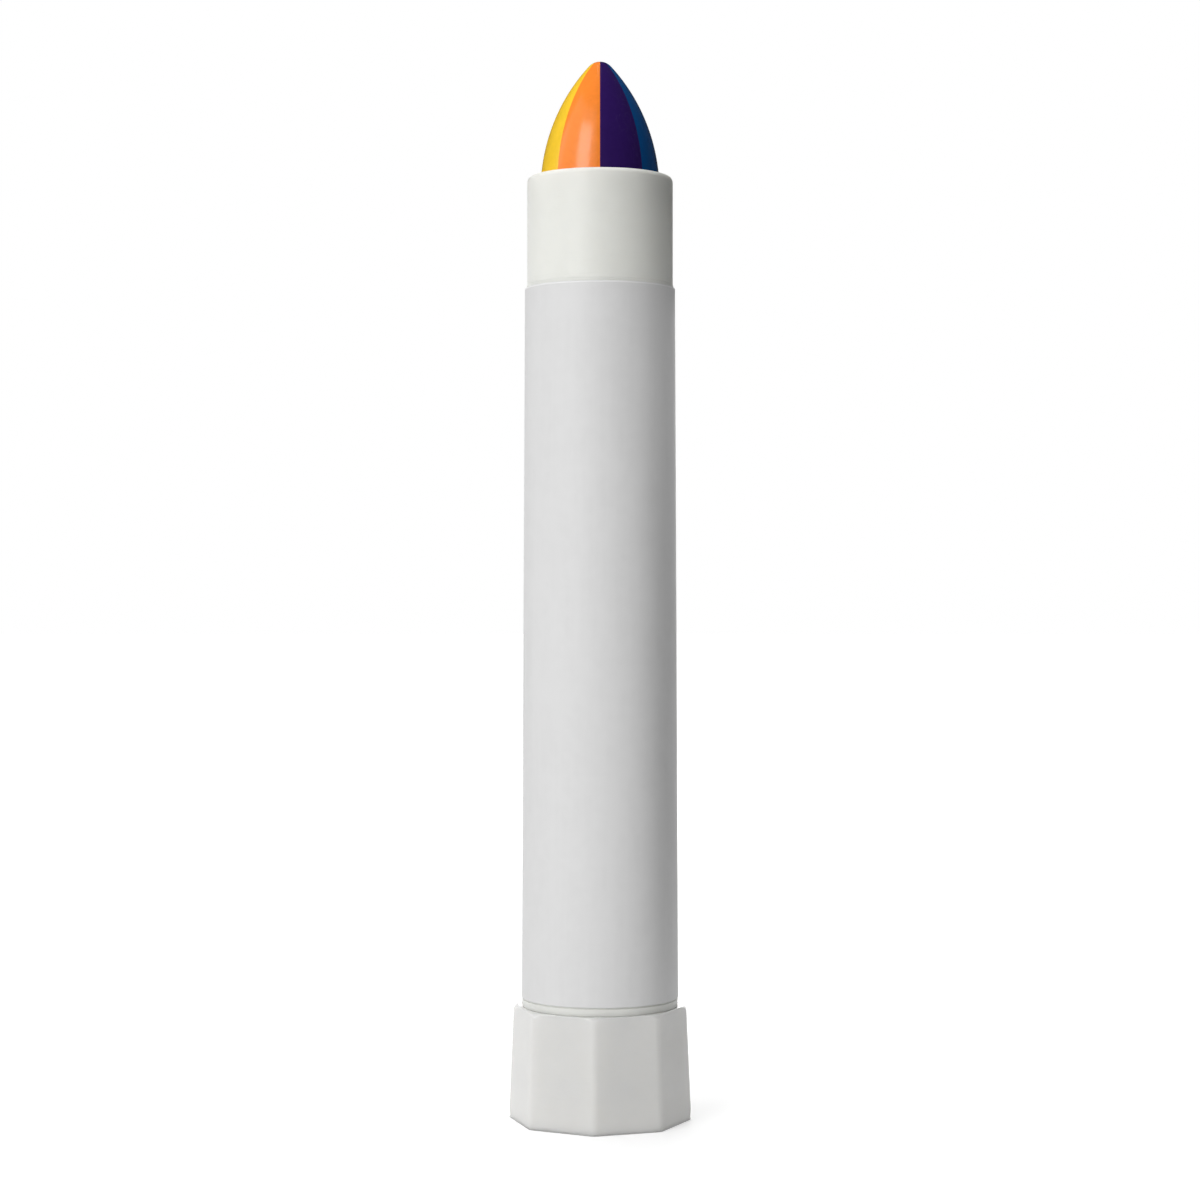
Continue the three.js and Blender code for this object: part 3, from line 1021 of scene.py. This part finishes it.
@dataclass
class KnobDrive:
    """The eight-sided turning knob and the lead screw that stands in it.

    Attributes:
        sides: How many flats the knob has.
        turn: Angle of the knob's front edge from straight ahead, in radians.
        top_apothem: Distance from the axis to a flat, at the top.
        draft: Slope of the flats from upright, in radians.
        edge_round: Radius of the upright edges.
        top_round: Width of the turned rounding that takes the top's corners off.
        top_rise: Height of that rounding.
        top_room: From the corners out to where that rounding starts.
        top_edge: Radius of the small rounding along the top's whole outer edge.
        foot_round: Radius of the underside's outer edge.
        bore: Radius of the bore that takes the spigot.
        lip: Width of the chamfer at the bore's mouth.
        groove: Radius of the groove for the snap bead.
        groove_span: Lowest and highest height of the groove.
        groove_slope: Height of the slope at its top and at its foot.
        floor: Height of the knob's inner floor.
        floor_edge: Width of the slopes where the bore and the boss meet that floor.
        boss: Radius of the boss round the screw's socket.
        boss_top: Height of the boss.
        socket: Half the side of the square socket.
        gate: Radius of the moulding gate's dimple in the underside.
        gate_depth: Depth of that dimple.
        gate_shape: Its profile from the middle outwards, as shares of its radius and depth.
        thread: The lead screw's thread.
        collar_top: Height of the top of the screw's collar, which stands on the boss.
        collar: Radius of the collar.
        collar_edge: Width of the chamfers round the collar.
        root: Half the side of the screw's square root.
        root_edge: Width of the chamfer at the root's end.
        tip_chamfer: Width of the chamfer at the screw's end.
        screw_steps: How many steps a turn of the collar has.
    """

    sides: int = 8
    turn: float = math.radians(-4)
    top_apothem: float = 8.87 * MM
    draft: float = math.radians(2.3)
    edge_round: float = 1.2 * MM
    top_round: float = 0.55 * MM
    top_rise: float = 0.9 * MM
    top_room: float = 0.05 * MM
    top_edge: float = 0.12 * MM
    foot_round: float = 0.12 * MM
    bore: float = 7.67 * MM
    lip: float = 0.15 * MM
    groove: float = 8.2 * MM
    groove_span: tuple[float, float] = (3.35 * MM, 5.45 * MM)
    groove_slope: float = 0.4 * MM
    floor: float = 1.6 * MM
    floor_edge: float = 0.3 * MM
    boss: float = 3.46 * MM
    boss_top: float = 6.0 * MM
    socket: float = 1.6 * MM
    gate: float = 1.3 * MM
    gate_depth: float = 0.25 * MM
    gate_shape: tuple[tuple[float, float], ...] = ((0.0, 1.0), (0.8, 1.0), (0.94, 0.7), (1.0, 0.0))
    thread: Thread = Thread(crest=2.98 * MM, root=2.2 * MM, crest_width=1.0 * MM, flank=0.5 * MM,
                            lead=4.0 * MM, turn=Turn.LEFT_HANDED)
    collar_top: float = 7.0 * MM
    collar: float = 3.0 * MM
    collar_edge: float = 0.1 * MM
    root: float = 1.5 * MM
    root_edge: float = 0.15 * MM
    tip_chamfer: float = 0.6 * MM
    screw_steps: int = 144
    plastic: MouldedPlastic = MouldedPlastic(
        "knob_plastic", (0.72, 0.715, 0.695), roughness=0.09, glow=0.8, depth=3 * MM)
    spindle: MouldedPlastic = MouldedPlastic(
        "spindle_plastic", (0.78, 0.78, 0.76), roughness=0.3, rubbed=0.4)
    height: float = field(init=False)

    def __post_init__(self) -> None:
        """Reads the knob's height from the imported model."""
        self.height = corners("twist_knob")[1][2]

    def ring(self, apothem: float, rounding: float, height: float) -> np.ndarray:
        """One level of the outside: a regular polygon with an arc at each corner.

        Each corner arc's centre lies on the corner's own radius, (apothem - rounding) over the
        cosine of half a side's angle from the axis; straight runs join the arcs.

        Args:
            apothem: Distance from the axis to the middle of a flat.
            rounding: Radius of the corner arcs.
            height: The level's height.

        Returns:
            One row of x, y and z for each point, anticlockwise from the front edge.
        """
        half = math.pi / self.sides
        corner = -QUARTER + self.turn + 2 * half * np.arange(self.sides)
        facing = corner[:, None] + np.linspace(-half, half, 9)[None, :]
        reach = (apothem - rounding) / math.cos(half)
        x = reach * np.cos(corner)[:, None] + rounding * np.cos(facing)
        y = reach * np.sin(corner)[:, None] + rounding * np.sin(facing)
        arcs = np.stack([x, y], axis=2)
        following = np.roll(arcs, -1, axis=0)[:, 0]
        share = np.linspace(0, 1, 14)[1:-1][None, :, None]
        runs = arcs[:, -1][:, None] * (1 - share) + following[:, None] * share
        flat = np.concatenate([arcs, runs], axis=1).reshape(-1, 2)
        return np.column_stack([flat, np.full(len(flat), height)])

    def knob(self) -> bpy.types.Object:
        """Makes the knob as one run of rings: underside, flats, top edge, bore, floor and boss.

        Above the start of the top's rounding each ring keeps its headings, and its points are
        drawn in to the radius of the turned rounding wherever they lie outside it. Over the last
        stretch the whole ring is also drawn in by a quarter circle.
        """
        tall = self.height
        base_apothem = self.top_apothem + tall * math.tan(self.draft)

        def level(height: float, inset: float = 0.0) -> np.ndarray:
            """The outside's ring at a height, drawn in by an inset that also eats its corners."""
            apothem = base_apothem - height * math.tan(self.draft) - inset
            return self.ring(apothem, self.edge_round - inset, height)

        foot = self.foot_round
        start = tall - self.top_rise
        rings = [level(foot * (1 - math.sin(angle)), foot * (1 - math.cos(angle)))
                 for angle in np.linspace(0, QUARTER, 5)]
        rings.extend(level(height) for height in np.linspace(foot, start, 12)[1:])
        reach = np.hypot(rings[-1][:, 0], rings[-1][:, 1]).max() + self.top_room
        for angle in np.linspace(0, QUARTER, 25)[1:]:
            height = start + self.top_rise * math.sin(angle)
            climbed = max(0.0, 1 - (tall - height) / self.top_edge)
            ring = level(height, self.top_edge * (1 - math.sqrt(1 - climbed ** 2)))
            limit = reach - self.top_round * (1 - math.cos(angle))
            away = np.hypot(ring[:, 0], ring[:, 1])
            ring[:, :2] *= np.minimum(1.0, limit / away)[:, None]
            rings.append(ring)
        heading = np.arctan2(rings[-1][:, 1], rings[-1][:, 0])

        def circle(radius: np.ndarray | float, height: float) -> np.ndarray:
            """A ring at one radius, or one radius a point, with its points at the top's headings."""
            return np.column_stack([radius * np.cos(heading), radius * np.sin(heading),
                                    np.full(len(heading), height)])

        square = self.socket / np.maximum(np.abs(np.cos(heading)), np.abs(np.sin(heading)))
        low, high = self.groove_span
        slope = self.groove_slope
        edge = self.floor_edge
        inside = [(self.bore + self.lip, tall), (self.bore, tall - self.lip), (self.bore, high),
                  (self.groove, high - slope), (self.groove, low + slope), (self.bore, low),
                  (self.bore, self.floor + edge), (self.bore - edge, self.floor),
                  (self.boss + edge, self.floor), (self.boss, self.floor + edge),
                  (self.boss, self.boss_top), (square, self.boss_top), (square, self.floor),
                  (0.0, self.floor)]
        rings.extend(circle(radius, height) for radius, height in inside)
        under = [circle(self.gate * out, self.gate_depth * deep) for out, deep in self.gate_shape]
        piece = woven(np.stack(under + rings), wrap_columns=True).piece("knob")
        dress(piece, self.plastic.material())
        return piece

    def screw(self) -> bpy.types.Object:
        """Makes the lead screw: a thread trimmed to its length, a collar and a square root."""
        low, high = corners("lead_screw")
        top = high[2]
        spare = 0.05 * MM
        reach = self.thread.crest + spare
        piece = self.thread.rod(self.collar_top, top).piece("spindle", fill=True)
        trim = outline(
            [(0.0, self.collar_top - spare), (reach, self.collar_top - spare)],
            [(reach, top - self.tip_chamfer - spare), (self.thread.crest - self.tip_chamfer, top)],
            [(0.0, top)],
        )
        carve(piece, turned(trim, self.screw_steps), Carve.KEEP_INSIDE, THREAD_CREASE)
        edge = self.collar_edge
        collar = outline(
            [(0.0, self.boss_top), (self.collar - edge, self.boss_top)],
            [(self.collar, self.boss_top + edge), (self.collar, self.collar_top - edge)],
            [(self.collar - edge, self.collar_top), (0.0, self.collar_top)],
        )
        carve(piece, turned(collar, self.screw_steps), Carve.JOIN, THREAD_CREASE)
        middle = (self.boss_top + self.collar_top) / 2
        square = block((-self.root, -self.root, low[2]), (self.root, self.root, middle), self.root_edge)
        carve(piece, square, Carve.JOIN, THREAD_CREASE)
        dress(piece, self.spindle.material())
        return piece

    def build(self) -> None:
        """Makes the knob and the screw, which turn together."""
        place(self.knob(), "knob", "twist_knob")
        place(self.screw(), "knob", "lead_screw")


@dataclass
class PaintStick:
    """The cast paint stick: eight wedges that meet on the axis, and the carrier under them.

    Attributes:
        radius: Radius of the straight stick.
        tip_length: From the tip to where its side becomes straight.
        nose: Radius of the rounding at the very tip.
        foot_radius: Radius of the foot inside the carrier's cup.
        foot_edge: Width of the chamfer where the stick widens over the cup.
        cup_edge: Height where the foot widens over the cup's edge.
        hub_radius: Radius round the carrier's hub.
        hub_edge: Height where the bore narrows over the hub.
        cast_gap: How far the paint has shrunk from the carrier.
        floor: Thickness of the carrier's floor.
        carrier_edge: Width of the roundings and chamfers of the carrier.
        lug: Reach, width and height of the two lugs that slide in the barrel's keyways.
        lug_lift: From the carrier's underside up to the lugs.
        nut_clearance: Between the carrier's thread and the lead screw's.
        bore: Radius of the bore round the lead screw.
        bore_top: Height where the bore's straight part ends.
        bore_point: Height of the cone above it.
    """

    radius: float = 6.55 * MM
    tip_length: float = 14.3 * MM
    nose: float = 1.68 * MM
    foot_radius: float = 5.95 * MM
    foot_edge: float = 0.2 * MM
    cup_edge: float = 30.1 * MM
    hub_radius: float = 4.3 * MM
    hub_edge: float = 28.1 * MM
    cast_gap: float = 0.1 * MM
    floor: float = 2.0 * MM
    carrier_edge: float = 0.15 * MM
    lug: tuple[float, float, float] = (7.1 * MM, 1.6 * MM, 5.0 * MM)
    lug_lift: float = 0.05 * MM
    nut_clearance: float = 0.3 * MM
    bore: float = 3.3 * MM
    bore_top: float = 102.6 * MM
    bore_point: float = 1.0 * MM
    wedges: tuple[tuple[str, Paint], ...] = (
        ("yellow_wedge_right", Paint.YELLOW),
        ("orange_wedge_rear", Paint.ORANGE),
        ("violet_wedge_rear", Paint.VIOLET),
        ("blue_wedge_left", Paint.BLUE),
        ("yellow_wedge_left", Paint.YELLOW),
        ("orange_wedge_front", Paint.ORANGE),
        ("violet_wedge_front", Paint.VIOLET),
        ("blue_wedge_right", Paint.BLUE),
    )
    plastic: MouldedPlastic = MouldedPlastic("carrier_plastic", (0.78, 0.78, 0.76), roughness=0.36)
    span: tuple[float, float] = field(init=False)

    def __post_init__(self) -> None:
        """Reads the stick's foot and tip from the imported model."""
        low, high = corners(self.wedges[0][0])
        self.span = (low[2], high[2])

    def profile(self) -> np.ndarray:
        """Half the stick's outline, anticlockwise from the foot's inner corner.

        The tip's side is an arc that leaves the straight stick smoothly and touches the nose's
        arc smoothly, so its radius is the stick's radius squared plus the rise squared less the
        nose's squared, over twice the stick's radius less the nose's.
        """
        foot, tip = self.span
        start = tip - self.tip_length
        rise = tip - self.nose - start
        side = (self.radius ** 2 + rise ** 2 - self.nose ** 2) / (2 * (self.radius - self.nose))
        meet = math.atan2(rise, side - self.radius)
        edge = self.foot_edge
        straight = np.linspace(self.cup_edge + 2 * edge, start, 30)[:-1]
        return outline(
            [(self.hub_radius, foot), (self.foot_radius, foot)],
            [(self.foot_radius, self.cup_edge), (self.radius - edge, self.cup_edge)],
            [(self.radius, self.cup_edge + edge)],
            np.stack([np.full_like(straight, self.radius), straight], axis=1),
            arc((self.radius - side, start), side, 0, meet, 44),
            arc((0.0, tip - self.nose), self.nose, meet, QUARTER, 14)[1:],
            [(0.0, self.bore_top + self.bore_point), (self.bore, self.bore_top)],
            [(self.bore, self.hub_edge), (self.hub_radius, self.hub_edge)],
        )

    def wedge(self, name: str, number: int) -> bpy.types.Object:
        """Makes one wedge of the stick.

        Args:
            name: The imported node's name.
            number: The wedge's place in the ring, anticlockwise from +X.

        Returns:
            The wedge, with flat sides that meet its neighbours' sides.
        """
        angle = FULL / len(self.wedges)
        shell = turned_part(self.profile(), number * angle, (number + 1) * angle, steps=24)
        return shell.piece(f"{name}_cast", PAINT_CREASE)

    def carrier(self, thread: Thread) -> bpy.types.Object:
        """Makes the carrier: a cup with a threaded hub in its floor and a lug on each side.

        Args:
            thread: The lead screw's thread.

        Returns:
            The carrier.
        """
        low, _ = corners("paint_carrier")
        bottom = low[2]
        top = self.cup_edge - self.cast_gap
        hub_top = self.hub_edge - self.cast_gap
        hub = self.hub_radius - self.cast_gap
        cup = self.foot_radius + self.cast_gap
        floor = bottom + self.floor
        core = thread.root - self.nut_clearance
        edge = self.carrier_edge
        profile = outline(
            [(core, bottom), (self.radius - edge, bottom), (self.radius, bottom + edge)],
            [(self.radius, top - edge), (self.radius - edge, top), (cup, top)],
            arc((cup - edge, floor + edge), edge, 0, -QUARTER, 4),
            arc((hub + edge, floor + edge), edge, -QUARTER, -2 * QUARTER, 4),
            [(hub, hub_top - edge), (hub - edge, hub_top), (core, hub_top)],
        )
        piece = turned(profile).piece("carrier_cup")
        reach, width, height = self.lug
        inner = (self.radius + cup) / 2
        for sign in (-1, 1):
            x = sorted((sign * inner, sign * reach))
            low_corner = (x[0], -width / 2, bottom + self.lug_lift)
            high_corner = (x[1], width / 2, bottom + height)
            carve(piece, block(low_corner, high_corner, edge), Carve.JOIN)
        carve(piece, thread.grown(self.nut_clearance).rod(bottom, hub_top), sharp=THREAD_CREASE)
        dress(piece, self.plastic.material())
        return piece

    def build(self, thread: Thread) -> None:
        """Makes the wedges, which are one cast stick, and the carrier under them.

        Args:
            thread: The lead screw's thread.
        """
        finishes = {paint: SolidPaint(f"{paint.name.lower()}_paint", paint).material() for paint in Paint}
        for number, (name, paint) in enumerate(self.wedges):
            piece = self.wedge(name, number)
            dress(piece, finishes[paint])
            place(piece, "stick", name)
        place(self.carrier(thread), "stick", "paint_carrier")


@dataclass(frozen=True)
class Softbox:
    """A rectangular studio light that faces the marker.

    Attributes:
        name: The light's name.
        power: Its power, in watts.
        size: Its width and height.
        spot: Where its middle is.
        target: Height of the point on the marker's axis that it faces.
        reflected: Whether it shows in reflections.
    """

    name: str
    power: float
    size: tuple[float, float]
    spot: tuple[float, float, float]
    target: float = 57 * MM
    reflected: bool = True

    def build(self) -> None:
        """Hangs the light in its spot and turns it to its target."""
        data = bpy.data.lights.new(self.name, "AREA")
        data.shape = "RECTANGLE"
        data.size, data.size_y = self.size
        data.energy = self.power
        made = bpy.data.objects.new(self.name, data)
        made.location = self.spot
        aim = Vector((0.0, 0.0, self.target)) - Vector(self.spot)
        made.rotation_euler = aim.to_track_quat("-Z", "Y").to_euler()
        made.visible_glossy = self.reflected
        bpy.context.scene.collection.objects.link(made)


@dataclass(frozen=True)
class Card:
    """A dark grey card, bent round the marker's axis, that keeps some light off the marker.

    Attributes:
        name: The card's name.
        tone: Its grey.
        radius: Its distance from the marker's axis.
        span: Its lowest and highest height.
        headings: Where it starts and ends, in degrees anticlockwise from the right.
    """

    name: str
    tone: float
    radius: float
    span: tuple[float, float]
    headings: tuple[float, float]

    def build(self) -> None:
        """Bends the card into its place, out of the camera's sight."""
        edges = outline([(self.radius, height) for height in self.span])
        angle = np.radians(np.linspace(*self.headings, 31))
        card = woven(polar(edges, angle)).piece(self.name)
        made = Surface(f"{self.name}_grey")
        made.set(Base_Color=(self.tone,) * 3, Roughness=0.9)
        dress(card, made.material)
        card.visible_camera = False


@dataclass
class Studio:
    """A white table under soft light, and the camera at the photograph's viewing angle.

    Attributes:
        distance: From the camera to the marker's axis.
        eye: Height of the camera.
        lens: Focal length for a 36 mm wide picture, in millimetres.
        lights: The tall key light at the front left, a weak one ahead, and those above, at the
            left and behind.
        ambient: Strength of the light from all round.
        near_glow: Extra brightness of the table in the camera's eye, close to the marker.
        far_glow: The same far from it, where the lamps hardly reach.
        glow_reach: Distances from the marker's axis where the one ends and the other starts.
        cards: The cards that keep light off the right of the neck and of the label's lower part.
        bounce: Light that the table gives off upwards, close to the marker.
        bounce_reach: Distances from the marker's axis where it starts to fade and where it ends.
        hood_radius: Radius of the dark hood that shows only in reflections.
        hood_height: Height of its middle.
        hood_edge: Elevation of its lower edge away from the key light and before it, in radians.
        hood_low: Heading of the middle of the part away from it, and half that part's width.
    """

    distance: float = 284.6 * MM
    eye: float = 57.0 * MM
    lens: float = 77.6
    lights: tuple[Softbox, ...] = (
        Softbox("key", 2.4, (0.27, 0.6), (-0.344, -0.491, 0.32)),
        Softbox("fill", 0.15, (0.3, 0.3), (0.03, -0.6, 0.25), reflected=False),
        Softbox("top", 1.7, (0.2, 0.2), (0.0, 0.06, 0.6), reflected=False),
        Softbox("side", 0.05, (0.1, 0.25), (-0.25, 0.02, 0.16), target=100 * MM),
        Softbox("back", 0.8, (0.3, 0.5), (0.1, 0.6, 0.3)),
    )
    ambient: float = 0.21
    near_glow: float = 0.4
    far_glow: float = 0.85
    glow_reach: tuple[float, float] = (40 * MM, 500 * MM)
    cards: tuple[Card, ...] = (
        Card("neck_card", 0.03, 32 * MM, (93 * MM, 190 * MM), (-74, 80)),
        Card("label_card", 0.03, 32 * MM, (12 * MM, 70 * MM), (-20, 12)),
    )
    bounce: float = 0.1
    bounce_reach: tuple[float, float] = (12 * MM, 35 * MM)
    hood_radius: float = 100 * MM
    hood_height: float = 110 * MM
    hood_edge: tuple[float, float] = (math.radians(5), math.radians(55))
    hood_low: tuple[float, float] = (math.radians(40), math.radians(140))

    def camera(self) -> None:
        """Sets up the camera, level and square to the marker."""
        data = bpy.data.cameras.new("camera")
        data.lens = self.lens
        data.sensor_width = 36.0
        data.clip_start = 0.01
        made = bpy.data.objects.new("camera", data)
        made.location = (0.0, -self.distance, self.eye)
        made.rotation_euler = (QUARTER, 0.0, 0.0)
        bpy.context.scene.collection.objects.link(made)
        bpy.context.scene.camera = made

    def world(self) -> None:
        """Lights from all round, and shows plain white to the camera and in reflections."""
        made = bpy.data.worlds.new("studio")
        made.use_nodes = True
        sheet = Sheet(made.node_tree)
        background = sheet.add("ShaderNodeBackground")
        background.inputs["Color"].default_value = (1.0, 1.0, 1.0, 1.0)
        extra = sheet.maths("MULTIPLY", seen(sheet), 1.0 - self.ambient)
        sheet.feed(sheet.maths("ADD", extra, self.ambient), background.inputs["Strength"])
        out = sheet.add("ShaderNodeOutputWorld")
        sheet.feed(background.outputs[0], out.inputs["Surface"])
        bpy.context.scene.world = made

    def table(self) -> None:
        """Lays a wide white floor that keeps a soft shadow and looks white to the camera."""
        reach = 4.0
        shell = Shell(np.array([(-reach, -reach, 0), (reach, -reach, 0), (reach, reach, 0),
                                (-reach, reach, 0)], dtype=float), [[0, 1, 2, 3]])
        floor = shell.piece("floor")
        made = Surface("white_floor")
        sheet = made.sheet
        made.set(Base_Color=(0.8, 0.8, 0.8), Roughness=0.7, Emission_Color=(1.0, 1.0, 1.0))
        away = sheet.add("ShaderNodeVectorMath", operation="LENGTH")
        sheet.feed(made.position, away.inputs[0])
        distance = away.outputs["Value"]
        glow = sheet.mapped(distance, self.glow_reach, (self.near_glow, self.far_glow))
        bounce = sheet.mapped(distance, self.bounce_reach, (self.bounce, 0.0))
        shown = sheet.maths("MULTIPLY", seen(sheet), glow)
        made.set(Emission_Strength=sheet.maths("MAXIMUM", shown, bounce))
        dress(floor, made.material)

    def hood(self) -> None:
        """Hangs a dark dome over the tip, which shows only in reflections and stops no light.

        It is part of a sphere round a point on the axis. Its lower edge is at the first elevation
        on the right and at the back, and at the second before the key light, at the front left.
        """
        columns, rows = 97, 13
        heading = np.linspace(0, FULL, columns)[:, None]
        low_middle, low_half = self.hood_low
        low = np.cos(heading - low_middle) > math.cos(low_half)
        lowest = np.where(low, *self.hood_edge)
        rise = lowest + (QUARTER - lowest) * np.linspace(0, 1, rows)[None, :]
        level = np.cos(rise)
        points = self.hood_radius * np.stack(
            [level * np.cos(heading), level * np.sin(heading), np.sin(rise)], axis=2)
        points[:, :, 2] += self.hood_height
        hood = woven(points).piece("dark_hood")
        made = Surface("hood_black")
        made.set(Base_Color=(0.02, 0.02, 0.02), Roughness=0.9)
        dress(hood, made.material)
        hood.visible_camera = False
        hood.visible_diffuse = False
        hood.visible_shadow = False

    def build(self) -> None:
        """Sets up the camera, the lights, the world, the floor, the cards and the hood."""
        self.camera()
        for light in self.lights:
            light.build()
        self.world()
        self.table()
        for card in self.cards:
            card.build()
        self.hood()
        bpy.context.scene.view_settings.view_transform = "Standard"


def main() -> None:
    """Builds the studio and the marker."""
    logging.basicConfig(level=logging.INFO, format="%(name)s: %(message)s")
    Studio().build()
    Casing().build()
    drive = KnobDrive()
    drive.build()
    PaintStick().build(drive.thread)


if __name__ == "__main__":
    main()
